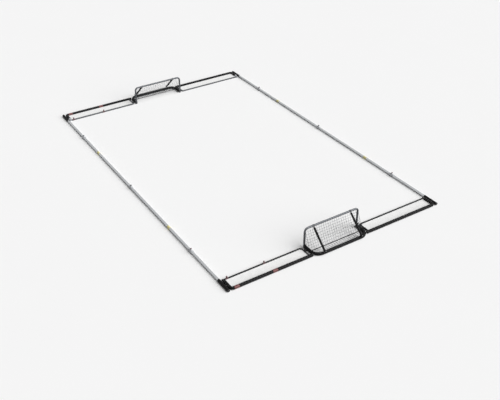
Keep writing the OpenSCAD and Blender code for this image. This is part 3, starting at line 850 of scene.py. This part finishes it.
@dataclass
class Plungers(SubAssembly):
    """All ten knobs: six on the rails' couplers and four on the thin bars' clamps."""

    rail_top: float = 0.044
    bar_top: float = 0.0265

    def make(self) -> None:
        """Builds every knob."""
        feet = {f"{joint}_knob": foot for joint, foot in self.rail_joints(self.rail_top).items()}
        for end in End:
            for word, place in zip(("first", "second"), self.clamp_places):
                foot = Vector((-self.arm_x + place, end.value * self.bar_y, self.bar_top))
                feet[f"{end.name.lower()}_left_{word}_bar_knob"] = foot
        slots = slots_by_node()
        for name, foot in feet.items():
            Knob(name, foot, slots[name], self.finishes.by_slot[slots[name]]).make()


@dataclass(frozen=True)
class Coupler:
    """Moulded sleeve that joins two rail tubes, with a plunger boss; sizes in millimetres."""

    name: str
    centre: Vector
    slot: str
    finish: Material
    length: float = 90.0
    radius: float = 25.0
    bore: float = 19.05
    boss_radius: float = 11.0
    boss_top: float = 34.95  # over the sleeve's axis
    chamber: float = 7.0  # radius of the spring's chamber
    rings: int = 3
    groove: float = 0.7  # depth of a ring

    def sleeve(self) -> Shape:
        """Builds the sleeve with rounded ends and shallow rings near both ends.

        Returns:
            The shape.
        """
        half, r, deep = self.length / 2, self.radius, self.radius - self.groove
        run = [(r - 1.6, half), (r - 0.45, half - 0.45), (r, half - 1.6)]
        for i in range(self.rings):
            at = half - 9 - 5 * i
            run += [(r, at + 1.2), (deep, at + 0.6), (deep, at - 0.6), (r, at - 1.2)]
        near = [(radius, -height) for radius, height in run]
        profile = [(self.bore, -half), *near, *run[::-1], (self.bore, half)]
        return lathe(profile, self.centre, Vector((0, 1, 0)), 64)

    def boss(self) -> Shape:
        """Builds the plunger's boss with a flared foot on the sleeve.

        Returns:
            The shape.
        """
        r, tube, top, hollow = self.boss_radius, self.radius, self.boss_top, self.chamber
        profile = [(hollow, tube - 3.2), (r + 1.6, tube - 3.2), (r + 1.2, tube + 0.2)]
        profile += [(r + 0.3, tube + 1.6), (r, tube + 3.2), (r, top - 0.6), (r - 0.6, top)]
        return lathe([*profile, (hollow, top)], self.centre, UP, 40)

    def make(self) -> None:
        """Builds the coupler, which stays on the ground."""
        shape = join(self.sleeve(), self.boss())
        fit_piece(f"{self.name}_moulding", shape, self.finish, "root", self.name)


@dataclass
class Couplers(SubAssembly):
    """The six couplers of the rails."""

    axis_z: float = 0.025

    def make(self) -> None:
        """Builds every coupler."""
        slots = slots_by_node()
        for joint, centre in self.rail_joints(self.axis_z).items():
            name = f"{joint}_coupler"
            Coupler(name, centre, slots[name], self.finishes.by_slot[slots[name]]).make()


# ---- end panels ----


@dataclass
class EndPanel(SubAssembly):
    """One rebound panel: a taut mesh cloth with a hem, eyelets and lacing to its frame."""

    side: Side
    end: End
    bar_arm_x: float = 0.572
    outer_y: float = 3.165
    tube_radius: float = 0.025
    axis_z: float = 0.025
    bar_radius: float = 0.012
    bar_z: float = 0.0145
    clamp_radius: float = 0.0145
    gap: float = 0.6 * MM  # between cloth and tubes
    level: float = 1.6 * MM  # rise of the cloth's edge over the thin bar's axis
    eyelet_reach: float = 1.6 * MM  # how far a loop goes past the cloth on either side
    tube_cut: float = 0.018  # leg of the cloth's cut corner in the tube's bend
    bar_cut: float = 0.026  # leg of the one in the thin bar's bend
    sag: float = 2.2 * MM
    ripple: float = 0.5 * MM
    cloth_thickness: float = 0.8 * MM
    hem_width: float = 0.016
    hem_thickness: float = 2.2 * MM
    hem_rise: float = 0.9 * MM
    hem_rounding: float = 0.5 * MM
    cord_radius: float = 0.0013
    lace_pitch: float = 0.05
    lace_slant: float = 6 * MM  # how far a loop runs along its tube
    lace_steps: int = 22
    bare_ends: tuple[float, float] = (0.075, 0.06)  # without lacing, at the arm and at the bend
    red_seats: tuple[float, float] = (0.086, 0.74)
    seat_room: float = 0.052  # from a seat's middle to the next loop
    clamp_room: float = 0.03  # from a clamp's middle to the next loop
    # loops on the arms, clear of the spacers and bolts
    arm_loops: tuple[float, ...] = (2.995, 3.04, 3.11)
    bar_arm_loops: tuple[float, ...] = (2.97, 3.05, 3.1)
    # profile of an eyelet as (radius, height), in millimetres
    eyelet: tuple[tuple[float, float], ...] = (
        (2.6, -1.5), (4.4, -1.7), (4.9, -1.2), (4.9, 1.9), (4.4, 2.4), (2.6, 2.2),
    )

    @property
    def name(self) -> str:
        """Name of the panel, such as near_left."""
        return f"{self.end.name.lower()}_{self.side.name.lower()}"

    def place(self, x: float, y: float, z: float) -> Vector:
        """Mirrors a point drawn at the near left to this panel's corner."""
        return Vector((-x * self.side.value, -y * self.end.value, z))

    def to_corner(self, shape: Shape) -> None:
        """Mirrors a shape drawn at the near left to this panel's corner."""
        for vert in shape.verts:
            vert.co = self.place(*vert.co)

    @property
    def edges(self) -> tuple[float, float, float, float]:
        """Left, right, outer and inner edge of the cloth; it is level with the thin bar.

        Returns:
            The edges, as distances from the middle of the court.
        """
        rise = self.axis_z - self.bar_z - self.level
        beside = math.sqrt(self.tube_radius**2 - rise**2) + self.gap
        left, right = beside - self.arm_x, -self.bar_arm_x - self.bar_radius - self.gap
        return left, right, self.outer_y - beside, self.bar_y + self.clamp_radius + self.gap

    def cloth(self) -> Piece:
        """Builds the cloth from a grid, cut to its corners and slightly sagging.

        Returns:
            The cloth.
        """
        left, right, low, high = self.edges
        width, depth = right - left, low - high
        shape = bmesh.new()
        bmesh.ops.create_grid(shape, x_segments=64, y_segments=12, size=0.5)
        bmesh.ops.scale(shape, vec=Vector((width, depth, 1)), verts=shape.verts)
        middle = Vector(((left + right) / 2, -(low + high) / 2, 0))
        bmesh.ops.translate(shape, vec=middle, verts=shape.verts)
        for x, y, sign in ((left + self.tube_cut, -low, -1), (right - self.bar_cut, -high, 1)):
            plane = {"plane_co": Vector((x, y, 0)), "plane_no": Vector((sign, sign, 0))}
            whole = shape.verts[:] + shape.edges[:] + shape.faces[:]
            bmesh.ops.bisect_plane(shape, geom=whole, clear_outer=True, **plane)
        for vert in shape.verts:
            across = min(1.0, max(0.0, (vert.co.x - left) / width))
            down = min(1.0, max(0.0, (-vert.co.y - high) / depth))
            taut = math.sin(math.pi * down)
            sag = self.sag * math.sqrt(max(0.0, math.sin(math.pi * across)))
            ripple = self.ripple * math.sin(across * 90 + 2 * down)
            vert.co.z = self.bar_z + (ripple - sag) * taut
        bmesh.ops.recalc_face_normals(shape, faces=shape.faces)
        bmesh.ops.solidify(shape, geom=shape.faces[:], thickness=self.cloth_thickness)
        self.to_corner(shape)
        piece = add_piece(f"{self.name}_panel_cloth", shape, self.finishes.by_slot["panel_net"])
        f"{self.name}_panel_tube"
        f"{self.name}_panel_bar"
        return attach(piece, "root")

    def hem_path(self) -> list[Vector]:
        """Middle line of the hem, round the cloth's edge.

        Returns:
            Its corners, drawn at the near left.
        """
        inset = self.hem_width / 2
        left, right, low, high = self.edges
        left, right, low, high = left + inset, right - inset, low - inset, high + inset
        outline = [(left, high), (right - self.bar_cut, high), (right, high + self.bar_cut)]
        outline += [(right, low), (left + self.tube_cut, low), (left, low - self.tube_cut)]
        return [Vector((x, -y, self.bar_z)) for x, y in outline]

    def hem(self) -> None:
        """Builds the hem tape: a flat strip folded round the cloth's edge."""
        path = self.hem_path()
        shape = bmesh.new()
        count = len(path)
        half = self.hem_width / 2
        inner, outer = [], []
        for i, point in enumerate(path):
            before, after = path[i - 1] - point, path[(i + 1) % count] - point
            bisector = (before.normalized() + after.normalized()).normalized()
            width = half / max(0.3, math.sin(before.angle(after) / 2))
            inner.append(shape.verts.new(point + bisector * width))
            outer.append(shape.verts.new(point - bisector * width))
        for i in range(count):
            j = (i + 1) % count
            shape.faces.new((inner[i], inner[j], outer[j], outer[i]))
        bmesh.ops.recalc_face_normals(shape, faces=shape.faces)
        bmesh.ops.solidify(shape, geom=shape.faces[:], thickness=self.hem_thickness)
        bmesh.ops.translate(shape, vec=UP * self.hem_rise, verts=shape.verts)
        rounding = {"offset": self.hem_rounding, "segments": 2, "profile": 0.5}
        bmesh.ops.bevel(shape, geom=shape.edges[:], affect="EDGES", material=-1, **rounding)
        self.to_corner(shape)
        fit_piece(f"{self.name}_panel_hem", shape, self.finishes.hem)

    def lace_spots(self) -> list[tuple[Vector, Vector, float, str]]:
        """Places where a loop of lacing passes through an eyelet and round a tube.

        Returns:
            For each: eyelet, centre of the tube, its radius and direction.
        """
        spots = []
        inset, level = self.hem_width / 2, self.bar_z
        left, right, low, high = self.edges
        start, stop = self.arm_x - self.bare_ends[0], self.bar_arm_x + self.bare_ends[1]
        count = round((start - stop) / self.lace_pitch)
        bare = self.side is Side.RIGHT
        for i in range(count + 1):
            x = -start + (start - stop) * i / count
            at = x + self.arm_x
            if bare or all(abs(at - seat) > self.seat_room for seat in self.red_seats):
                tube = Vector((x, -self.outer_y, self.axis_z))
                spots.append((Vector((x, inset - low, level)), tube, self.tube_radius, "x"))
            if bare or all(abs(at - clamp) > self.clamp_room for clamp in self.clamp_places):
                bar = Vector((x, -self.bar_y, level))
                spots.append((Vector((x, -high - inset, level)), bar, self.bar_radius, "x"))
        for y in self.arm_loops:
            arm = Vector((-self.arm_x, -y, self.axis_z))
            spots.append((Vector((left + inset, -y, level)), arm, self.tube_radius, "y"))
        for y in self.bar_arm_loops:
            arm = Vector((-self.bar_arm_x, -y, level))
            spots.append((Vector((right - inset, -y, level)), arm, self.bar_radius, "y"))
        return spots

    def lacing(self) -> None:
        """Builds the loops of lacing cord and the eyelets that they pass through."""
        loops, eyelets = [], bmesh.new()
        steps = self.lace_steps
        for eyelet, centre, radius, axis in self.lace_spots():
            around = radius + self.cord_radius * 0.9
            away = eyelet - centre
            points = []
            reach = math.atan2(away.z, away.y if axis == "x" else away.x)
            open_half = math.acos(min(0.98, radius / max(away.length, radius * 1.03)))
            for i in range(steps + 1):
                a = reach + open_half + (TURN - 2 * open_half) * i / steps
                c, s = around * math.cos(a), around * math.sin(a)
                slant = (i / steps - 0.5) * self.lace_slant
                point = centre + Vector((slant, c, s) if axis == "x" else (c, slant, s))
                point.z = max(point.z, self.cord_radius)
                points.append(point)
            through = UP * self.eyelet_reach
            ends = [eyelet - through, eyelet + through]
            first, last = ends if points[0].z < points[-1].z else reversed(ends)
            loops.append([self.place(*point) for point in [first, *points, last]])
            join(eyelets, lathe(self.eyelet, self.place(*eyelet), UP, 12))
        cords = cord_shape(loops, self.cord_radius)
        fit_piece(f"{self.name}_panel_lacing", cords, self.finishes.lacing)
        fit_piece(f"{self.name}_panel_eyelets", eyelets, self.finishes.eyelet)

    def make(self) -> Piece:
        """Builds the whole panel and returns its cloth.

        Returns:
            The cloth.
        """
        piece = self.cloth()
        self.hem()
        self.lacing()
        return piece


# ---- goals ----


@dataclass
class Goal:
    """One goal's knotted net with its ties to hoop, rod and base."""

    finishes: Finishes
    end: End
    mouth_y: float = 2.925
    post_x: float = 0.51
    crossbar_z: float = 0.348
    tube_radius: float = 0.016
    bend_radius: float = 0.06
    rod_back: float = 0.152
    rod_z: float = 0.025
    rod_radius: float = 0.005
    base_x: float = 0.502
    base_radius: float = 0.025
    base_bend: float = 0.13
    rear_back: float = 0.288
    mesh: float = 0.042
    cord_radius: float = 0.0015
    edge_x: float = 0.505
    side_low: float = 0.0515
    ear_gap: tuple[float, float] = (0.044, 0.083)
    skirt_rows: int = 2
    billow: float = 0.006
    drape: float = 0.0015
    knot_radius: float = 2.3 * MM
    skirt_knot_radius: float = 2.2 * MM
    tie_room: float = 1.1 * MM  # from a tube to the middle of the cord tied round it
    bar_room: float = 1 * MM  # from the crossbar to the net's edge
    bend_room: float = 2 * MM  # from the hoop's bend to the rear sheet behind it
    post_room: float = 1.6 * MM  # from a post to the side sheet
    skirt_room: float = 0.5 * MM  # from the base tube to the skirt
    skirt_sag: float = 4 * MM
    shortest: tuple[float, float] = (0.01, 0.006)  # upright and level cords of a side sheet
    side_columns: int = 4
    follows_from: float = 0.05  # height from which the net was to go with the hoop; the net stays where it is built

    @property
    def name(self) -> str:
        """Name of the goal, near or far."""
        return self.end.name.lower()

    @property
    def hoop(self) -> str:
        """Body of this goal's hoop."""
        return f"{self.name}_hoop"

    def place(self, x: float, back: float, z: float) -> Vector:
        """Point at x across, a distance behind the mouth, and height z."""
        return Vector((x, self.end.value * (self.mouth_y + back), z))

    def top_z(self) -> float:
        """Height of the net's top edge under the crossbar."""
        return self.crossbar_z - self.tube_radius - self.bar_room

    def on_rear(self, x: float, down: float) -> Vector:
        """Point on the rear sheet, slightly bellied.

        Args:
            x: Across.
            down: Distance down the sheet from the crossbar.

        Returns:
            The point.
        """
        v = down / self.slant()
        belly = self.billow * math.sin(math.pi * v) * (1 - (x / self.edge_x) ** 4)
        drape = self.drape * math.sin(x * 37) * math.sin(math.pi * v)
        height = self.top_z() + (self.rod_z - self.top_z()) * v + drape
        return self.place(x, self.rod_back * v - belly, height)

    def slant(self) -> float:
        """Distance from the crossbar's underside to the rod's axis."""
        return math.hypot(self.rod_back, self.top_z() - self.rod_z)

    def slope(self) -> float:
        """Fall of the rear sheet over its length."""
        return (self.top_z() - self.rod_z) / self.slant()

    def rear_length(self) -> float:
        """Length of the rear sheet from crossbar to rod."""
        return self.slant() - self.rod_radius

    def over_rod(self, x: float) -> bool:
        """Whether x is between the base arms, where the rod is."""
        return abs(x) < self.base_x - self.base_radius

    def column_start(self, x: float) -> float:
        """Where a column of the rear sheet begins, so that it stays inside the hoop's corner.

        Args:
            x: Place of the column across the goal.

        Returns:
            Distance down the sheet.
        """
        over = abs(x) - (self.post_x - self.bend_radius)
        if over <= 0:
            return 0.0
        inner = self.bend_radius - self.tube_radius - self.bar_room
        slope = self.slope()
        if over >= inner:
            # behind the bend the sheet starts where it has come clear of the tube
            return (self.tube_radius + self.bend_room) / math.sqrt(1 - slope**2)
        return (inner - math.sqrt(inner**2 - over**2)) / slope

    def column_stop(self, x: float) -> float:
        """Where a column ends: on the rod, or on the base arm beside it."""
        on_arm = (self.top_z() - self.side_low) / self.slope()
        return self.rear_length() if self.over_rod(x) else on_arm

    def columns(self) -> list[float]:
        """Places of the vertical cords across the goal.

        Returns:
            The places, from left to right.
        """
        count = math.floor(self.edge_x * 2 / self.mesh)
        start = -count * self.mesh / 2
        inner = [start + i * self.mesh for i in range(1, count)]
        return [-self.edge_x] + inner + [self.edge_x]

    def rear_net(self) -> Cords:
        """Cords and knots of the rear sheet.

        Returns:
            The paths of the cords, and the knots.
        """
        paths, knots = [], []
        length = self.rear_length()
        rows = math.floor(length / self.mesh)
        first = (length - rows * self.mesh) / 2
        levels = [first + j * self.mesh for j in range(rows + 1)]
        columns = self.columns()
        for x in columns:
            start, stop = self.column_start(x), self.column_stop(x)
            paths.append([self.on_rear(x, d) for d in evenly(start, stop, 16)])
            knots += [self.on_rear(x, d) for d in levels if start < d < stop]
        for d in levels:
            reach = [x for x in columns if self.column_start(x) <= d <= self.column_stop(x)]
            spots = [x for a, b in zip(reach, reach[1:]) for x in (a, a + (b - a) / 2)]
            paths.append([self.on_rear(x, d) for x in spots + reach[-1:]])
        return paths, knots

    def side_net(self, side: Side) -> Cords:
        """Cords and knots of one side sheet, between post, base arm and rear sheet.

        Args:
            side: Which of the two.

        Returns:
            The paths of the cords, and the knots.
        """
        x = side.value * self.edge_x
        front = self.tube_radius + self.post_room
        run = self.rod_back / (self.top_z() - self.rod_z)

        def back_at(z: float) -> float:
            """How far back the rear sheet is at a height."""
            return (self.top_z() - z) * run

        paths, knots = [], []
        z_top = self.top_z() - front / run
        backs = [front + i * self.mesh for i in range(self.side_columns)]
        for back in backs:
            low = self.ear_gap[1] if back < self.ear_gap[0] else self.side_low
            top = self.top_z() - back / run
            if top - low > self.shortest[0]:
                paths.append([self.place(x, back, height) for height in evenly(low, top, 10)])
        z = self.side_low
        while z < z_top:
            stop = back_at(z)
            start = front if z > self.ear_gap[1] else self.ear_gap[0]
            if stop - start > self.shortest[1]:
                paths.append([self.place(x, back, z) for back in evenly(start, stop, 4)])
                knots += [self.place(x, b, z) for b in backs if start <= b < stop]
            z += self.mesh
        return paths, knots

    def skirt_net(self) -> Cords:
        """Cords and knots of the level part between the rod and the rear tube.

        Returns:
            The paths of the cords, and the knots.
        """
        near = self.rod_back + self.rod_radius
        room = self.skirt_room
        far = self.rear_back - self.base_radius - room
        centre_x, centre_back = self.base_x - self.base_bend, self.rear_back - self.base_bend
        inner = self.base_bend - self.base_radius - room

        def face_at(over: float, straight: float, centre: float) -> float:
            """Place of the base tube's inner face: straight, or in the bend beyond its centre."""
            return straight if over <= 0 else centre + math.sqrt(max(0.0, inner**2 - over**2))

        def far_at(x: float) -> float:
            """How far back the inner face is at x."""
            return face_at(abs(x) - centre_x, far, centre_back)

        paths, knots = [], []
        xs = [x for x in self.columns() if self.over_rod(x)]
        for x in xs:
            stop = far_at(x)
            paths.append([self.dip(x, back, near, stop) for back in evenly(near, stop, 6)])
        for j in range(1, self.skirt_rows + 1):
            back = near + (far - near) * j / (self.skirt_rows + 1)
            half = face_at(back - centre_back, self.base_x - self.base_radius - room, centre_x)
            line = [-half] + [x for x in xs if abs(x) < half] + [half]
            paths.append([self.dip(x, back, near, far_at(x)) for x in line])
            knots += [self.dip(x, back, near, far_at(x)) for x in line[1:-1]]
        return paths, knots

    def dip(self, x: float, back: float, near: float, far: float) -> Vector:
        """Point on the skirt, which sags a little between rod and tube."""
        share = min(1.0, max(0.0, (back - near) / max(far - near, 1e-6)))
        return self.place(x, back, self.rod_z - self.skirt_sag * math.sin(math.pi * share))

    def netting(self, word: str, shape: Shape) -> Piece:
        """Makes one piece of the net.

        Args:
            word: Last part of its name.
            shape: Its edit mesh.

        Returns:
            The piece.
        """
        piece = add_piece(f"{self.name}_goal_{word}", shape, self.finishes.by_slot["goal_net"])
        return piece

    def net(self) -> None:
        """Builds the net that goes from the base to the hoop; it stays where it is built."""
        paths, knots = self.rear_net()
        for side in Side:
            more, ties = self.side_net(side)
            paths += more
            knots += ties
        shape = cord_shape(paths, self.cord_radius, knots=knots, knot_radius=self.knot_radius)
        piece = self.netting("knotted_net", shape)
        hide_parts(f"{self.name}_goal_net")
        self.hoop
        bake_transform(piece)

    def skirt(self) -> None:
        """Builds the level net on the base, which doesn't move."""
        paths, knots = self.skirt_net()
        shape = cord_shape(paths, self.cord_radius, knots=knots, knot_radius=self.skirt_knot_radius)
        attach(self.netting("skirt_net", shape), "root")

    def hoop_ties(self) -> None:
        """Builds the loops that tie the net to crossbar and posts."""
        loops = []
        around = self.tube_radius + self.tie_room
        straight = self.post_x - self.bend_radius
        for x in self.columns():
            if abs(x) < straight:
                loops.append(ring(self.place(x, 0, self.crossbar_z), around, "x"))
        z = self.side_low + self.mesh * 2
        while z < self.crossbar_z - self.bend_radius:
            for side in Side:
                loops.append(ring(self.place(side.value * self.post_x, 0, z), around, "z"))
            z += self.mesh
        shape = cord_shape(loops, self.cord_radius, closed=True)
        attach(self.netting("hoop_ties", shape), self.hoop)

    def base_ties(self) -> None:
        """Builds the loops that tie the net to the rod and to the rear tube."""
        loops = []
        for x in self.columns():
            if self.over_rod(x):
                rod = self.place(x, self.rod_back, self.rod_z)
                loops.append(ring(rod, self.rod_radius + self.tie_room, "x", 10))
            if abs(x) < self.base_x - self.base_bend:
                rear = self.place(x, self.rear_back, self.base_radius)
                around = self.base_radius + self.tie_room
                loops.append(ring(rear, around, "x", 18, ground=self.cord_radius))
        shape = cord_shape(loops, self.cord_radius, closed=True)
        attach(self.netting("base_ties", shape), "root")

    def make(self) -> None:
        """Builds the net and all its ties."""
        self.net()
        self.skirt()
        self.hoop_ties()
        self.base_ties()


# ---- studio ----


@dataclass
class Studio:
    """Pale floor, soft light from the near right and the camera."""

    finishes: Finishes
    floor_size: float = 120.0
    floor_drop: float = 0.2 * MM
    floor_colour: str = "#F5F5F5"
    sky_level: float = 0.08
    sun_height: float = math.radians(42)
    sun_side: float = math.radians(-50)  # direction that the light comes from, from +X
    sun_spread: float = math.radians(70)
    lens: float = 51.9
    camera_at: tuple[float, float, float] = (-5.906, -9.776, 6.638)
    camera_way: tuple[float, float, float] = (0.4517, 0.6995, -0.5538)

    def make_floor(self) -> None:
        """Lays the floor just under the object."""
        shape = bmesh.new()
        bmesh.ops.create_grid(shape, x_segments=4, y_segments=4, size=self.floor_size / 2)
        bmesh.ops.translate(shape, vec=UP * -self.floor_drop, verts=shape.verts)
        paint = StudioFloor("matt_floor_paint", self.floor_colour).make()
        add_piece("studio_floor", shape, paint, smooth=False)

    def make_world(self) -> None:
        """Sets an even sky, shown as the pale background where it is seen or mirrored."""
        world = bpy.data.worlds.new("studio_sky")
        bpy.context.scene.world = world
        world.use_nodes = True
        tree = world.node_tree
        tree.nodes.clear()
        path = add_node(tree, "ShaderNodeLightPath")
        seen = path.outputs["Is Camera Ray"]
        for kind in ("Is Glossy Ray", "Is Transmission Ray"):
            seen = math_of(tree, "MAXIMUM", seen, path.outputs[kind])
        white = {"Color": (1, 1, 1, 1), "Strength": self.sky_level}
        pale = {"Color": linear(self.floor_colour), "Strength": 1.0}
        light = add_node(tree, "ShaderNodeBackground", inputs=white).outputs[0]
        shown = add_node(tree, "ShaderNodeBackground", inputs=pale).outputs[0]
        sky = add_node(tree, "ShaderNodeMixShader", inputs={0: seen, 1: light, 2: shown})
        add_node(tree, "ShaderNodeOutputWorld", inputs={"Surface": sky.outputs[0]})

    def make_sun(self) -> None:
        """Adds one soft lamp, so that sky and lamp together light a level face fully."""
        lamp = bpy.data.lights.new("soft_key", "SUN")
        lamp.angle = self.sun_spread
        lamp.energy = (1 - self.sky_level) * math.pi / math.sin(self.sun_height)
        flat, rise = math.cos(self.sun_height), math.sin(self.sun_height)
        way = Vector((flat * math.cos(self.sun_side), flat * math.sin(self.sun_side), rise))
        holder = put_in_scene("soft_key", lamp)
        holder.rotation_euler = way.to_track_quat("Z", "Y").to_euler()

    def make_camera(self) -> None:
        """Sets the camera."""
        lens = bpy.data.cameras.new("camera")
        lens.lens = self.lens
        lens.sensor_width = 36.0
        lens.clip_end = 200.0
        camera = put_in_scene("camera", lens)
        camera.location = self.camera_at
        camera.rotation_euler = Vector(self.camera_way).to_track_quat("-Z", "Y").to_euler()
        bpy.context.scene.camera = camera

    def make(self) -> None:
        """Builds the studio."""
        self.make_camera()
        self.make_floor()
        self.make_world()
        self.make_sun()
        bpy.context.scene.view_settings.view_transform = "Standard"


def main() -> None:
    """Builds every sub-assembly in order."""
    logging.basicConfig(level=logging.INFO, format="%(message)s")
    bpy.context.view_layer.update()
    finishes = Finishes()
    Studio(finishes).make()
    finishes.dress_frame()
    Couplers(finishes).make()
    Plungers(finishes).make()
    for end in End:
        cloths = [EndPanel(finishes, side, end).make() for side in Side]
        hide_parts(f"{end.name.lower()}_panel_nets")
        Goal(finishes, end).make()


if __name__ == "__main__":
    main()
